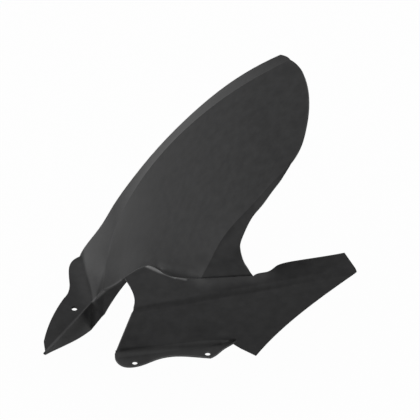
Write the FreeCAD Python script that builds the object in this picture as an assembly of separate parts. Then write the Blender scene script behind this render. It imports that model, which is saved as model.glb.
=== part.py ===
import FreeCAD, Part
import math
import os

# Motorcycle rear fender with a chain guard, moulded as one shell.
# X runs rearward, Y to the right of the machine and Z up.
# The origin is the centre of the front bolt hole, on the top face of its tab.
Vector = FreeCAD.Vector

# Shell
WALL = 2.6
HOLE_DIAMETER = 6.0

# Wheel that the crown follows
CROWN_RADIUS = 339.0
CROWN_SETBACK = 39.0
AXLE_DOWN = 63.0
CROWN_CAMBER = 3.0
CROWN_COLUMNS = 8

# Stations of the blade, from its tail to its front.
# Each is the angle about the axle above the front horizontal, the reach to the right and the drop inward.
FAR_EDGE = [
    (62.8, 85, 2.5),
    (54, 92.5, 8),
    (46, 94, 10),
    (38, 94, 10),
    (30.5, 94, 8),
    (23.5, 93, 3.5),
    (18, 92, -1.5),
    (13.6, 86, -10),
]
FAR_CREASE = [
    (64.4, 70, 0),
    (55, 70, 0),
    (47, 70, 0),
    (39, 70, 0),
    (31, 70, 0),
    (24, 70, 0),
    (19, 68, -1),
    (16, 58, -5),
    (14.2, 42, -9),
    (13.4, 26, -13),
    (12.3, 8, -17),
]
NEAR_RIDGE = [
    (60.5, -61.5, 0),
    (57.5, -70, 0),
    (55, -75.5, 0),
    (52, -83, 0),
    (49.5, -87.5, 0),
    (46.5, -91, 0.5),
    (43.5, -94, 2.5),
    (41, -96.7, 5.5),
    (38.8, -99, 8.7),
    (36.8, -100.4, 11),
    (34.8, -101.5, 13),
]
NEAR_EDGE = [
    (60.1, -62.7, 0.5),
    (57.6, -73, 2.6),
    (55.2, -80, 4),
    (52.8, -88, 4),
    (50.5, -92, 6),
    (48.3, -95, 10),
    (46, -98, 15.5),
    (44.2, -101, 21.7),
    (42.6, -106, 33),
    (41.9, -108, 41),
    (41.2, -109.5, 52),
]

# Rounding of the crown's ends, in degrees about the axle, and the way and size of the swelling of its front
TAIL_BULGE = 3.4
TAIL_CORNER = 0.25
FRONT_BULGE = 4.0
FRONT_PEAK = 0.4
OUTWARD = Vector(-0.12, -0.69, 0.71)
FRONT_SWELL = 24.0

# Front tab: a flat plate ahead of the crown, seen from above
TAB_BACK = 19.0
TAB_FAR = 73.0
TAB_NEAR = 6.0
TAB_FAR_END = [(5.5, 60), (1.4, 36), (-7.7, 16.3)]
TAB_SIDE = [(-30, -20), (-38.2, -40.3)]
TAB_TIP = (-39.4, -57.1)

# Beak wall: turned down along the tab's near edge and under the crown's front
BEAK_REAR_SHARE = 0.22
BEAK_REAR_DEPTHS = [6, 16, 34]
BEAK_CORNER_DEPTH = 36.0
BEAK_BELLY = 4.0
BEAK_TIP_DEPTH = 1.5
BEAK_LEAN = 0.06

# Chain guard: the crease above its flat outer panel, and the slanting edges of the panel
PANEL_Y = -130.0
GUARD_FRONT_X = 37.0
GUARD_FRONT_Z = 118.0
GUARD_REAR_X = 264.0
GUARD_REAR_Z = 136.0
GUARD_ROUND = 5.0
PANEL_RAKE = 0.31
FIN_TIP = (161.5, 32.7)
FIN_BACK = [(211, 89), (180, 57)]
FIN_FRONT_X = 146.0
FIN_ROOT_X = 134.0

# Ledge: places along the crease, and the width and rise of its free inner edge behind the blade
LEDGE_FREE = [(256, 26.5), (225, 27), (195, 27.5), (184, 23.5), (177, 19.7), (169, 19.7)]
LEDGE_RISE = 1.0
LEDGE_STATIONS = [264, 229, 197, 186, 178, 170, 162, 115, 103, 93, 83, 72, 60, 48, 37]
LEDGE_START = 0.2
NOTCH_HOLLOW = 4.5
LIP_ROUND_END = 0.6
LIP_ROUND = 4.0

# Foot: turned out along the panel's lower edge, with an ear round each bolt hole
FOOT_Z = 59.0
FOOT_HOLE_X = 36.0
FOOT_HOLE_SPACING = 74.0
FOOT_HOLE_OUT = 13.8
FRONT_EAR = [(-17.5, 7.8), (-12, 15.7), (-3, 18.2), (9, 16.5), (24, 11.5)]
FOOT_WAIST = 10.2
REAR_EAR = [(-15, 14.2), (2, 19.2)]
FOOT_TAPER = [(9.6, 15.2), (17, 9.2), (26, 4), (32, 0)]
FOOT_FILLET = [(-17, 5), (0, 6), (74, 5.5), (98, 1.5)]

AXLE_BACK = CROWN_RADIUS + CROWN_SETBACK
EMBED = WALL / 2
INTO_CROWN = Vector(0.8, 0.3, -0.5) * EMBED


def lerp(a, b, f):
    """Value at the share f of the way from a to b."""
    return a + (b - a) * f


def on_crown(angle, y, drop=0.0):
    """Point at an angle about the axle, at a reach to the right, below the crown's radius by drop."""
    radius = CROWN_RADIUS - drop
    turn = math.radians(angle)
    return Vector(AXLE_BACK - radius * math.cos(turn), y, radius * math.sin(turn) - AXLE_DOWN)


def crown_column(f):
    """Points along the crown at the share f of the way from the far crease to the near ridge."""
    last = len(FAR_CREASE) - 1
    hump = 4 * f * (1 - f)
    rise = FRONT_BULGE * (f / FRONT_PEAK)**3 * ((1 - f) / (1 - FRONT_PEAK))**(3 / FRONT_PEAK - 3)
    angles = [lerp(far[0], near[0], f) for far, near in zip(FAR_CREASE, NEAR_RIDGE)]
    angles = [angle + rise * (i / last)**3 for i, angle in enumerate(angles)]
    angles[0] += TAIL_BULGE * hump**0.8
    points = []
    for i, (angle, far, near) in enumerate(zip(angles, FAR_CREASE, NEAR_RIDGE)):
        drop = far[2] * (1 - f)**4 + near[2] * f**4 - CROWN_CAMBER * hump
        swell = FRONT_SWELL * ((1 - f) * i / last)**3
        points.append(on_crown(angle, lerp(far[1], near[1], f), drop) + OUTWARD * swell)
    return points


def cubic(points):
    """Cubic curve through evenly spaced points."""
    curve = Part.BSplineCurve()
    curve.interpolate(Points=points, Parameters=[float(i) for i in range(len(points))])
    return curve


def poles_through(points):
    """Poles of the cubic through the points, or of the line through two."""
    return points if len(points) == 2 else cubic(points).getPoles()


def knots_for(count):
    """Knots, multiplicities and degree that go with so many evenly spaced points."""
    if count == 2:
        return [0.0, 1.0], [2, 2], 1
    curve = cubic([Vector(i, i * i, 0) for i in range(count)])
    return curve.getKnots(), curve.getMultiplicities(), curve.Degree


def surface(grid):
    """Smooth face through a grid of points, given as columns."""
    columns = [poles_through(column) for column in grid]
    rows = [poles_through(list(row)) for row in zip(*columns)]
    u_knots, u_mults, u_degree = knots_for(len(grid[0]))
    v_knots, v_mults, v_degree = knots_for(len(grid))
    face = Part.BSplineSurface()
    face.buildFromPolesMultsKnots(rows, u_mults, v_mults, u_knots, v_knots, False, False, u_degree, v_degree)
    return face.toShape()


def grid_normals(grid):
    """Unit normals of a grid of points, from its differences along rows and columns."""
    wide = len(grid)
    long = len(grid[0])
    normals = []
    for j in range(wide):
        column = []
        for i in range(long):
            along = grid[j][min(i + 1, long - 1)] - grid[j][max(i - 1, 0)]
            across = grid[min(j + 1, wide - 1)][i] - grid[max(j - 1, 0)][i]
            column.append(along.cross(across).normalize())
        normals.append(column)
    return normals


def inward(normals):
    """Step to the point that lies one wall behind faces with these normals."""
    step = Vector()
    for _ in range(40):
        for n in normals:
            step -= n * (WALL + step.dot(n))
    return step


def place(p):
    """Place of a point, for telling shared points from free ones."""
    return round(p.x, 4), round(p.y, 4), round(p.z, 4)


def borders(grid):
    """Four edges of a grid of points."""
    return [grid[0], grid[-1], [column[0] for column in grid], [column[-1] for column in grid]]


def moulded(panels):
    """Solid of one wall thickness behind smooth panels that share their edges."""
    normals = {}
    for panel in panels:
        for column, along in zip(panel, grid_normals(panel)):
            for p, n in zip(column, along):
                normals.setdefault(place(p), []).append(n)
    steps = {spot: inward(near) for spot, near in normals.items()}
    faces = []
    rims = {}
    for panel in panels:
        inner = [[p + steps[place(p)] for p in column] for column in panel]
        faces += [surface(panel), surface(inner)]
        for outer_edge, inner_edge in zip(borders(panel), borders(inner)):
            name = frozenset(place(p) for p in outer_edge)
            rims.setdefault(name, []).append([outer_edge, inner_edge])
    faces += [surface(found[0]) for found in rims.values() if len(found) == 1]
    shell = Part.makeShell(faces)
    shell.sewShape()
    solid = Part.makeSolid(shell.Shells[0])
    if solid.Volume < 0:
        solid.reverse()
    return solid


def rounded(before, corner, after, radii):
    """Three lines of points that round a fold: on one side of it, through the round and on the other side."""
    start = [p + (q - p).normalize() * r for p, q, r in zip(corner, before, radii)]
    end = [p + (q - p).normalize() * r for p, q, r in zip(corner, after, radii)]
    return [start, [(s + p * 2 + e) / 4 for s, p, e in zip(start, corner, end)], end]


def plate(runs, direction):
    """Flat plate whose outline follows runs of points: two are a line and more are a smooth curve."""
    edges = []
    for run in runs:
        if len(run) == 2:
            edges.append(Part.makeLine(run[0], run[1]))
        else:
            curve = Part.BSplineCurve()
            curve.interpolate(run)
            edges.append(curve.toShape())
    return Part.Face(Part.Wire(edges)).extrude(direction)


def bevel_columns():
    """Far edge of the blade and the bevel between it and the crown."""
    far_edge = [on_crown(*station) for station in FAR_EDGE]
    bend_rows = len(FAR_CREASE) - len(FAR_EDGE)
    for i in range(bend_rows):
        y = lerp(TAB_FAR, TAB_NEAR, i / (bend_rows - 1))
        far_edge.append(Vector(TAB_BACK - EMBED, y, -WALL - EMBED / 2))
    crease = crown_column(0.0)
    bevel = [(p + q) / 2 for p, q in zip(far_edge, crease)]
    corner = math.radians(FAR_CREASE[0][0])
    bevel[0] += Vector(math.sin(corner), 0, math.cos(corner)) * (CROWN_RADIUS * math.radians(TAIL_CORNER))
    return [far_edge, bevel, crease]


def lip_over(rail, crease):
    """Inner edge of the ledge: the crown's foot carried out and up to the ledge's level."""
    heights = [q.z + LEDGE_RISE - p.z for p, q in zip(rail, crease)]
    return [p + OUTWARD * (height / OUTWARD.z) for p, height in zip(rail, heights)]


def hugger():
    """Crown over the tyre with its bevel and near wall, and the chain guard that a web carries beside it."""
    bevel = bevel_columns()
    front = [crown_column(LEDGE_START * j / 2) for j in range(3)]
    last = CROWN_COLUMNS - 1
    crown = [crown_column(lerp(LEDGE_START, 1.0, j / last)) for j in range(CROWN_COLUMNS)]
    near_edge = [on_crown(*station) for station in NEAR_EDGE]
    rail = [column[-1] for column in [near_edge] + crown[::-1]]
    free = [guard_top(x, LEDGE_RISE, width) for x, width in LEDGE_FREE]
    start = len(free)
    outer = [guard_top(x) for x in LEDGE_STATIONS]
    lip = lip_over(rail, outer[start:])
    middle = [(p + q) / 2 for p, q in zip(free + lip, outer)]
    middle[-1] += Vector(NOTCH_HOLLOW, 0, 0)
    middle[-2] += Vector(NOTCH_HOLLOW / 3, 0, 0)
    shares = [max(0, j - 1) / last for j in range(len(rail))]
    radii = [lerp(LIP_ROUND_END, LIP_ROUND, 4 * f * (1 - f)) for f in shares]
    edge = rounded(rail, lip, middle[start:], radii)
    inner = free + edge[2]
    fold = rounded(middle, outer, panel_bottom(outer), [GUARD_ROUND] * len(outer))
    panels = [bevel, front, crown, [crown[-1], near_edge]]
    for a, b in ((0, start + 1), (start, start + 2), (start + 1, len(outer))):
        lines = [inner[a:b], middle[a:b]] + [line[a:b] for line in fold] + [panel_bottom(outer)[a:b]]
        panels += [lines[0:3], lines[2:5], lines[4:6]]
        if a >= start:
            web = [line[a - start:b - start] for line in [rail] + edge]
            panels += [web[0:2], web[1:4]]
    return moulded(panels).cut(below_panel())


def front_tab():
    """Flat tab ahead of the crown, for the front bolt."""
    tip = Vector(*TAB_TIP, 0)
    back = TAB_BACK + 2 * WALL
    far = Vector(back, TAB_FAR, 0)
    near = Vector(back, lerp(tip.y, TAB_NEAR, (back - tip.x) / (TAB_BACK - tip.x)), 0)
    end = [Vector(x, y, 0) for x, y in TAB_FAR_END]
    side = [Vector(x, y, 0) for x, y in TAB_SIDE]
    runs = [[far] + end, [end[-1], side[0], side[1]], [side[1], tip], [tip, near], [near, far]]
    return plate(runs, Vector(0, 0, -WALL))


def beak_panel(top, depths):
    """Panel that hangs from a line of points, leaning out in proportion to its depth."""
    return [top, [p - Vector(BEAK_LEAN / 2, BEAK_LEAN, 1) * depth for p, depth in zip(top, depths)]]


def beak_wall():
    """Wall turned down along the near edge of the crown's front and of the tab."""
    corner = Vector(TAB_BACK, TAB_NEAR, -EMBED)
    tip = Vector(*TAB_TIP, -EMBED)
    last = len(BEAK_REAR_DEPTHS) - 1
    rear = [crown_column(BEAK_REAR_SHARE * (1 - i / last))[-1] + INTO_CROWN for i in range(last + 1)]
    shares = [0.0, 1 / 3, 2 / 3, 1.0]
    front = [corner + (tip - corner) * f for f in shares]
    bellies = [4 * BEAK_BELLY * f * (1 - f)**2 for f in shares]
    front_depths = [lerp(BEAK_CORNER_DEPTH, BEAK_TIP_DEPTH, f) + belly for f, belly in zip(shares, bellies)]
    side = beak_panel([rear[-1], corner], [BEAK_REAR_DEPTHS[-1], BEAK_CORNER_DEPTH])
    return moulded([beak_panel(rear, BEAK_REAR_DEPTHS), side, beak_panel(front, front_depths)])


def guard_top(x, rise=0.0, inward=0.0):
    """Point over the crease between ledge and panel, moved up and inward."""
    f = (x - GUARD_FRONT_X) / (GUARD_REAR_X - GUARD_FRONT_X)
    return Vector(x, PANEL_Y + inward, lerp(GUARD_FRONT_Z, GUARD_REAR_Z, f) + rise)


def panel_bottom(crease):
    """Points under the crease of the guard, at the raked lower edge of its panel before trimming."""
    bottom = FIN_TIP[1] - 2 * WALL
    length = GUARD_REAR_X - GUARD_FRONT_X
    points = []
    for p in crease:
        rake = PANEL_RAKE * (p.z - bottom) * (GUARD_REAR_X - p.x) / length
        points.append(Vector(p.x - rake, p.y, bottom))
    return points


def below_panel():
    """What is trimmed from the panel: under the foot, and under the fin that slants up to the rear."""
    def at(x, z):
        return Vector(x, PANEL_Y - WALL, z)

    under = FOOT_Z - EMBED
    heel = at(FIN_FRONT_X, under - (FIN_FRONT_X - FIN_ROOT_X))
    root = at(FIN_ROOT_X, under)
    fin = at(*FIN_TIP)
    rear = at(GUARD_REAR_X, GUARD_REAR_Z - WALL)
    front = at(GUARD_FRONT_X - GUARD_FRONT_Z, under)
    low_front = at(front.x, fin.z - GUARD_FRONT_Z)
    low_rear = at(rear.x + GUARD_FRONT_Z, low_front.z)
    high_rear = at(low_rear.x, rear.z)
    slant = [rear] + [at(*p) for p in FIN_BACK] + [fin]
    corners = [fin, heel, root, front, low_front, low_rear, high_rear, rear]
    runs = [slant] + [[p, q] for p, q in zip(corners, corners[1:])]
    return plate(runs, Vector(0, 3 * WALL, 0))


def foot_point(x, out, up=0.0):
    """Point over the foot: along it from the front hole, out from the panel and up from its top face."""
    return Vector(FOOT_HOLE_X + x, PANEL_Y - out, FOOT_Z + up)


def foot():
    """Foot turned out along the panel's lower edge, with a hollow fillet in the corner."""
    start = foot_point(FRONT_EAR[0][0], -EMBED)
    heel = foot_point(FIN_ROOT_X - FOOT_HOLE_X, -EMBED)
    waist = foot_point(FOOT_HOLE_SPACING * 0.53, FOOT_WAIST)
    scallop = [start] + [foot_point(*p) for p in FRONT_EAR] + [waist]
    scallop += [foot_point(FOOT_HOLE_SPACING + x, out) for x, out in REAR_EAR]
    taper = [scallop[-1]] + [foot_point(FOOT_HOLE_SPACING + x, out) for x, out in FOOT_TAPER]
    flat = plate([scallop, taper, [taper[-1], heel], [heel, start]], Vector(0, 0, -WALL))
    return flat.fuse(Part.makeLoft([fillet_section(x, r) for x, r in FOOT_FILLET], True, True))


def fillet_section(x, radius):
    """Outline of the fillet between foot and panel at a place along the foot."""
    sink = WALL / 50
    bend = radius * (1 - math.sqrt(0.5))
    low = foot_point(x, radius, -sink)
    high = foot_point(x, -sink, radius)
    behind = [foot_point(x, -EMBED, radius), foot_point(x, -EMBED, -EMBED), foot_point(x, radius, -EMBED)]
    hollow = Part.Arc(low, foot_point(x, bend, bend), high).toShape()
    return Part.Wire([hollow] + Part.makePolygon([high] + behind + [low]).Edges)


def bolt_holes():
    """Upright holes: one through the tab and two through the foot."""
    out = PANEL_Y - FOOT_HOLE_OUT
    tops = [
        Vector(0, 0, WALL),
        Vector(FOOT_HOLE_X, out, FOOT_Z + WALL),
        Vector(FOOT_HOLE_X + FOOT_HOLE_SPACING, out, FOOT_Z + WALL),
    ]
    return [Part.makeCylinder(HOLE_DIAMETER / 2, 3 * WALL, top, Vector(0, 0, -1)) for top in tops]


def rear_fender():
    """Whole shell: hugger, foot, beak wall and tab in one piece."""
    shell = hugger()
    for piece in (foot(), beak_wall(), front_tab()):
        shell = shell.fuse(piece)
    return shell.cut(bolt_holes())


os.makedirs("parts", exist_ok=True)
fender = rear_fender()
fender.exportStep("parts/rear_fender.step")
print("rear_fender", fender.isValid(), len(fender.Solids), round(fender.Volume))
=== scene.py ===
import bpy
import math
from mathutils import Matrix, Vector

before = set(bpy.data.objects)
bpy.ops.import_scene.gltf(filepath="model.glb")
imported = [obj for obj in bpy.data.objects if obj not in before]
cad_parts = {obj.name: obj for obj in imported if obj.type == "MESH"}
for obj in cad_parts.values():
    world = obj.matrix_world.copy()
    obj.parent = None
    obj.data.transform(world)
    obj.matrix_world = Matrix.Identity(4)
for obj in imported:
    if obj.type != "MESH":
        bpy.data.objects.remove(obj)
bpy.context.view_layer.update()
scene = bpy.context.scene
scene.view_settings.view_transform = "Standard"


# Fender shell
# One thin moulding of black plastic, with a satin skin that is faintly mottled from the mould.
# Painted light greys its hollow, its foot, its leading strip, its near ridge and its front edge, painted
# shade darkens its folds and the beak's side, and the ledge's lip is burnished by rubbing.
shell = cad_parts["rear_fender"]

# Skin of the moulding: a cloudy tint and sheen, with fine pores.
grain = bpy.data.node_groups.new("moulded_grain", "ShaderNodeTree")
for name, kind in (
    ("Colour", "NodeSocketColor"),
    ("Roughness", "NodeSocketFloat"),
    ("Normal", "NodeSocketVector"),
):
    grain.interface.new_socket(name, in_out="OUTPUT", socket_type=kind)
out = grain.nodes.new("NodeGroupOutput")
coords = grain.nodes.new("ShaderNodeTexCoord")
cloud = grain.nodes.new("ShaderNodeTexNoise")
cloud.inputs["Scale"].default_value = 110.0
cloud.inputs["Detail"].default_value = 5.0
tint = grain.nodes.new("ShaderNodeValToRGB")
darker, lighter = tint.color_ramp.elements
darker.position = 0.3
darker.color = (0.022, 0.022, 0.0225, 1)
lighter.position = 0.7
lighter.color = (0.032, 0.032, 0.0325, 1)
sheen = grain.nodes.new("ShaderNodeMapRange")
sheen.inputs["To Min"].default_value = 0.33
sheen.inputs["To Max"].default_value = 0.43
pores = grain.nodes.new("ShaderNodeTexNoise")
pores.inputs["Scale"].default_value = 900.0
pores.inputs["Detail"].default_value = 2.0
bump = grain.nodes.new("ShaderNodeBump")
bump.inputs["Strength"].default_value = 0.12
bump.inputs["Distance"].default_value = 0.0002
for a, b in (
    (coords.outputs["Object"], cloud.inputs["Vector"]),
    (coords.outputs["Object"], pores.inputs["Vector"]),
    (cloud.outputs["Fac"], tint.inputs["Fac"]),
    (cloud.outputs["Fac"], sheen.inputs["Value"]),
    (pores.outputs["Fac"], bump.inputs["Height"]),
    (tint.outputs["Color"], out.inputs["Colour"]),
    (sheen.outputs["Result"], out.inputs["Roughness"]),
    (bump.outputs["Normal"], out.inputs["Normal"]),
):
    grain.links.new(a, b)

# Level that is full on a straight line and fades smoothly to nothing at its reach.
# The nearest point of the line is found by projection, held between the line's two ends.
near = bpy.data.node_groups.new("near_line", "ShaderNodeTree")
for name, kind in (
    ("Start", "NodeSocketVector"),
    ("End", "NodeSocketVector"),
    ("Reach", "NodeSocketFloat"),
    ("Level", "NodeSocketFloat"),
    ("Before", "NodeSocketFloat"),
):
    near.interface.new_socket(name, in_out="INPUT", socket_type=kind)
near.interface.new_socket("Level", in_out="OUTPUT", socket_type="NodeSocketFloat")
given = near.nodes.new("NodeGroupInput")
out = near.nodes.new("NodeGroupOutput")
place = near.nodes.new("ShaderNodeTexCoord")
run = near.nodes.new("ShaderNodeVectorMath")
run.operation = "SUBTRACT"
along = near.nodes.new("ShaderNodeVectorMath")
along.operation = "SUBTRACT"
squared = near.nodes.new("ShaderNodeVectorMath")
squared.operation = "DOT_PRODUCT"
covered = near.nodes.new("ShaderNodeVectorMath")
covered.operation = "DOT_PRODUCT"
nearest = near.nodes.new("ShaderNodeVectorMath")
nearest.operation = "SCALE"
offset = near.nodes.new("ShaderNodeVectorMath")
offset.operation = "DISTANCE"
part_way = near.nodes.new("ShaderNodeMath")
part_way.operation = "DIVIDE"
part_way.use_clamp = True
fade = near.nodes.new("ShaderNodeMapRange")
fade.interpolation_type = "SMOOTHSTEP"
fade.inputs["To Min"].default_value = 1.0
fade.inputs["To Max"].default_value = 0.0
scaled = near.nodes.new("ShaderNodeMath")
scaled.operation = "MULTIPLY"
most = near.nodes.new("ShaderNodeMath")
most.operation = "MAXIMUM"
for a, b in (
    (given.outputs["End"], run.inputs[0]),
    (given.outputs["Start"], run.inputs[1]),
    (place.outputs["Object"], along.inputs[0]),
    (given.outputs["Start"], along.inputs[1]),
    (run.outputs["Vector"], squared.inputs[0]),
    (run.outputs["Vector"], squared.inputs[1]),
    (along.outputs["Vector"], covered.inputs[0]),
    (run.outputs["Vector"], covered.inputs[1]),
    (covered.outputs["Value"], part_way.inputs[0]),
    (squared.outputs["Value"], part_way.inputs[1]),
    (run.outputs["Vector"], nearest.inputs[0]),
    (part_way.outputs["Value"], nearest.inputs["Scale"]),
    (along.outputs["Vector"], offset.inputs[0]),
    (nearest.outputs["Vector"], offset.inputs[1]),
    (offset.outputs["Value"], fade.inputs["Value"]),
    (given.outputs["Reach"], fade.inputs["From Max"]),
    (fade.outputs["Result"], scaled.inputs[0]),
    (given.outputs["Level"], scaled.inputs[1]),
    (scaled.outputs["Value"], most.inputs[0]),
    (given.outputs["Before"], most.inputs[1]),
    (most.outputs["Value"], out.inputs["Level"]),
):
    near.links.new(a, b)

plastic = bpy.data.materials.new("black_plastic")
plastic.use_nodes = True
nodes, links = plastic.node_tree.nodes, plastic.node_tree.links
skin = nodes["Principled BSDF"]
skin.inputs["Specular IOR Level"].default_value = 0.18
skin.inputs["Coat Roughness"].default_value = 0.12
skin.inputs["Coat IOR"].default_value = 2.4
detail = nodes.new("ShaderNodeGroup")
detail.node_tree = grain


def level_along_lines(lines):
    """The highest level that any of the lines gives, each line as start, end, reach and level."""
    highest = None
    for start, end, reach, level in lines:
        line = nodes.new("ShaderNodeGroup")
        line.node_tree = near
        line.inputs["Start"].default_value = start
        line.inputs["End"].default_value = end
        line.inputs["Reach"].default_value = reach
        line.inputs["Level"].default_value = level
        if highest:
            links.new(highest, line.inputs["Before"])
        highest = line.outputs["Level"]
    return highest


# Painted light: grey added where the light leaves the hollow at the crown's foot, the foot and the rear of
# the beak too dark, with painted highlights along the near ridge and the front edge and a painted
# reflection at the tab's bend.
painted_light = level_along_lines((
    # painted light in the hollow between the ledge and the crown's foot
    ((0.077, -0.056, 0.0986), (0.089, -0.076, 0.109), 0.009, 0.40),
    ((0.089, -0.076, 0.109), (0.113, -0.101, 0.124), 0.010, 0.42),
    ((0.113, -0.104, 0.125), (0.170, -0.112, 0.129), 0.020, 0.36),
    # painted highlight along the crown's near ridge
    ((0.1903, -0.076, 0.2163), (0.162, -0.0927, 0.1896), 0.012, 0.08),
    ((0.162, -0.0927, 0.1896), (0.1387, -0.0978, 0.1605), 0.014, 0.09),
    ((0.1387, -0.0978, 0.1605), (0.115, -0.101, 0.128), 0.014, 0.09),
    # painted light on the foot
    ((0.022, -0.143, 0.059), (0.060, -0.143, 0.059), 0.028, 0.36),
    ((0.060, -0.143, 0.059), (0.120, -0.143, 0.059), 0.026, 0.54),
    # painted highlight along the edge from the tab's tip up the crown's front
    ((-0.0384, -0.0544, 0.0), (0.0189, 0.0057, 0.0002), 0.002, 0.45),
    ((0.0189, 0.0057, 0.0002), (0.0286, -0.0085, 0.0281), 0.0028, 0.9),
    ((0.0286, -0.0085, 0.0281), (0.044, -0.0191, 0.0513), 0.0025, 0.40),
    # painted light on the rear of the beak
    ((0.020, 0.004, -0.003), (0.018, 0.003, -0.034), 0.013, 0.30),
    ((0.0225, -0.002, -0.010), (0.0225, -0.002, -0.024), 0.010, 0.45),
    # painted reflection at the bend behind the tab
    ((0.015, 0.060, 0.0), (0.019, 0.010, 0.0), 0.018, 0.22),
))
burnish = level_along_lines((
    # ledge's lip
    ((0.0577, -0.0663, 0.1190), (0.0616, -0.0726, 0.1202), 0.0028, 0.6),
    ((0.0616, -0.0726, 0.1202), (0.0728, -0.0842, 0.1216), 0.0034, 1.0),
    ((0.0728, -0.0842, 0.1216), (0.0859, -0.0958, 0.1230), 0.0032, 1.0),
    ((0.0859, -0.0958, 0.1230), (0.0951, -0.1013, 0.1236), 0.0026, 0.6),
    # crown's foot behind the lip
    ((0.0775, -0.0595, 0.0983), (0.0851, -0.0737, 0.1047), 0.004, 0.6),
))
# Painted shade: a share of the colour taken away in the folds, on the beak's side, on the crown beside the
# leading strip, on the bevelled strip and on the rear of the panel.
painted_shade = level_along_lines((
    # painted shade in the fold between ledge and panel
    ((0.039, -0.127, 0.118), (0.176, -0.1297, 0.126), 0.005, 0.30),
    ((0.176, -0.1297, 0.126), (0.237, -0.1286, 0.1328), 0.005, 0.20),
    # painted shade in the fold between panel and foot
    ((0.0254, -0.130, 0.0648), (0.084, -0.1318, 0.0606), 0.005, 0.45),
    ((0.084, -0.1318, 0.0606), (0.1245, -0.1323, 0.0591), 0.005, 0.55),
    # painted shade on the side of the beak
    ((-0.018, -0.030, -0.010), (0.003, -0.010, -0.014), 0.018, 0.70),
    # painted shade on the crown beside the leading strip, the middle of the bevelled strip and the rear of
    # the panel
    ((0.062, 0.042, 0.066), (0.040, 0.0, 0.042), 0.030, 0.15),
    ((0.075, 0.087, 0.082), (0.115, 0.088, 0.140), 0.014, 0.22),
    ((0.160, -0.130, 0.055), (0.250, -0.130, 0.115), 0.060, 0.16),
))

# Painted sheen on the leading strip, as grey added to its colour: ahead of a plane along the crease, above
# the tab's bend, fading upwards.
spot = nodes.new("ShaderNodeTexCoord")
height = nodes.new("ShaderNodeSeparateXYZ")
side = nodes.new("ShaderNodeVectorMath")
side.operation = "DOT_PRODUCT"
side.inputs[1].default_value = (-0.9095, 0.3643, 0.2008)
ahead = nodes.new("ShaderNodeMapRange")
ahead.inputs["From Min"].default_value = -0.0181
ahead.inputs["From Max"].default_value = -0.0169
above = nodes.new("ShaderNodeMapRange")
above.inputs["From Min"].default_value = 0.0015
above.inputs["From Max"].default_value = 0.004
below = nodes.new("ShaderNodeMapRange")
below.inputs["From Min"].default_value = 0.006
below.inputs["From Max"].default_value = 0.045
below.inputs["To Min"].default_value = 0.42
below.inputs["To Max"].default_value = 0.0
strip = nodes.new("ShaderNodeMath")
strip.operation = "MULTIPLY"
painted_light_sum = nodes.new("ShaderNodeMath")
painted_light_sum.operation = "MULTIPLY_ADD"

# Painted light, with the painted sheen of the leading strip, adds grey to the plastic's own colour, and
# painted shade then takes a share of it away.
colour_with_painted_light = nodes.new("ShaderNodeVectorMath")
colour_with_painted_light.operation = "MULTIPLY_ADD"
colour_with_painted_light.inputs[1].default_value = (0.1, 0.1, 0.1)
kept = nodes.new("ShaderNodeMath")
kept.operation = "SUBTRACT"
kept.inputs[0].default_value = 1.0
tone = nodes.new("ShaderNodeVectorMath")
tone.operation = "SCALE"
for a, b in (
    (spot.outputs["Object"], height.inputs["Vector"]),
    (spot.outputs["Object"], side.inputs[0]),
    (side.outputs["Value"], ahead.inputs["Value"]),
    (height.outputs["Z"], above.inputs["Value"]),
    (height.outputs["Z"], below.inputs["Value"]),
    (ahead.outputs["Result"], strip.inputs[0]),
    (above.outputs["Result"], strip.inputs[1]),
    (strip.outputs["Value"], painted_light_sum.inputs[0]),
    (below.outputs["Result"], painted_light_sum.inputs[1]),
    (painted_light, painted_light_sum.inputs[2]),
    (painted_light_sum.outputs["Value"], colour_with_painted_light.inputs[0]),
    (detail.outputs["Colour"], colour_with_painted_light.inputs[2]),
    (painted_shade, kept.inputs[1]),
    (colour_with_painted_light.outputs["Vector"], tone.inputs[0]),
    (kept.outputs["Value"], tone.inputs["Scale"]),
    (tone.outputs["Vector"], skin.inputs["Base Color"]),
    (burnish, skin.inputs["Coat Weight"]),
    (detail.outputs["Roughness"], skin.inputs["Roughness"]),
    (detail.outputs["Normal"], skin.inputs["Normal"]),
):
    links.new(a, b)
for i in range(len(shell.data.materials)):
    shell.data.materials[i] = plastic


# Floor
# A plain pale studio floor just below the part, matt and white to the eye.
# The part's soft shadow falls on it.
bpy.ops.mesh.primitive_plane_add(size=6, location=(0.1, 0, -0.045))
floor = bpy.context.object
floor.name = "floor"
pale = bpy.data.materials.new("pale_floor")
pale.use_nodes = True
nodes, links = pale.node_tree.nodes, pale.node_tree.links
ground = nodes["Principled BSDF"]
ground.inputs["Base Color"].default_value = (0.8, 0.8, 0.8, 1)
ground.inputs["Roughness"].default_value = 0.9
ground.inputs["Specular IOR Level"].default_value = 0.0
glow = nodes.new("ShaderNodeEmission")
path = nodes.new("ShaderNodeLightPath")
seen = nodes.new("ShaderNodeMath")
seen.operation = "MULTIPLY"
seen.inputs[1].default_value = 0.97
mirrored = nodes.new("ShaderNodeMath")
mirrored.operation = "MAXIMUM"
white = nodes.new("ShaderNodeMath")
white.operation = "MULTIPLY_ADD"
white.inputs[1].default_value = 0.05
mix = nodes.new("ShaderNodeMixShader")
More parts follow.
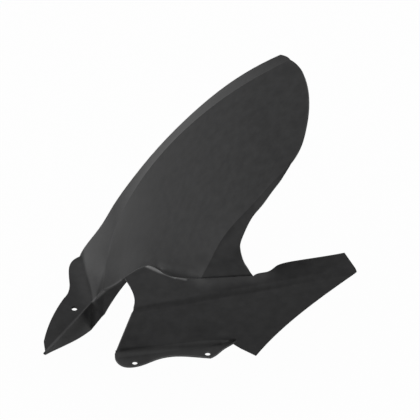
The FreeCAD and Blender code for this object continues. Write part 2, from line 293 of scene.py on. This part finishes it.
for a, b in (
    (path.outputs["Is Camera Ray"], seen.inputs[0]),
    (path.outputs["Is Glossy Ray"], mirrored.inputs[0]),
    (path.outputs["Is Transmission Ray"], mirrored.inputs[1]),
    (mirrored.outputs["Value"], white.inputs[0]),
    (seen.outputs["Value"], white.inputs[2]),
    (white.outputs["Value"], mix.inputs["Fac"]),
    (ground.outputs["BSDF"], mix.inputs[1]),
    (glow.outputs["Emission"], mix.inputs[2]),
    (mix.outputs["Shader"], nodes["Material Output"].inputs["Surface"]),
):
    links.new(a, b)
floor.data.materials.append(pale)


# Light
# An even soft studio with one broad soft light low on the part's front side.
# The sky's strength grows with the cosine between its direction and that light.
world = bpy.data.worlds.new("studio")
scene.world = world
world.use_nodes = True
nodes, links = world.node_tree.nodes, world.node_tree.links
backdrop = nodes["Background"]
backdrop.inputs["Color"].default_value = (1, 1, 1, 1)
even_level = 0.71
front_level = 1.4
front_narrowness = 12.0
sky = nodes.new("ShaderNodeTexCoord")
facing = nodes.new("ShaderNodeVectorMath")
facing.operation = "DOT_PRODUCT"
facing.inputs[1].default_value = Vector((-1, 0.15, 0.14)).normalized()
lit = nodes.new("ShaderNodeMath")
lit.operation = "MAXIMUM"
lit.inputs[1].default_value = 0.0
spread = nodes.new("ShaderNodeMath")
spread.operation = "POWER"
spread.inputs[1].default_value = front_narrowness
level = nodes.new("ShaderNodeMath")
level.operation = "MULTIPLY_ADD"
level.inputs[1].default_value = front_level
level.inputs[2].default_value = even_level
for a, b in (
    (sky.outputs["Generated"], facing.inputs[0]),
    (facing.outputs["Value"], lit.inputs[0]),
    (lit.outputs["Value"], spread.inputs[0]),
    (spread.outputs["Value"], level.inputs[0]),
    (level.outputs["Value"], backdrop.inputs["Strength"]),
):
    links.new(a, b)


# Camera
# Parallel view from above the machine's left side.
# One pixel of the 420 pixel frame is one millimetre.
turn, tilt = math.radians(10), math.radians(45)
right = Vector((math.cos(turn), -math.sin(turn), 0))
up = Vector((math.sin(tilt) * math.sin(turn), math.sin(tilt) * math.cos(turn), math.cos(tilt)))
back = right.cross(up)
middle = right * 0.1356 + up * 0.0984
stand_off = 2
eye = bpy.data.cameras.new("camera")
eye.type = "ORTHO"
eye.ortho_scale = 0.42
camera = bpy.data.objects.new("camera", eye)
facing_part = Matrix((right, up, back)).transposed().to_4x4()
camera.matrix_world = Matrix.Translation(middle + back * stand_off) @ facing_part
scene.collection.objects.link(camera)
scene.camera = camera
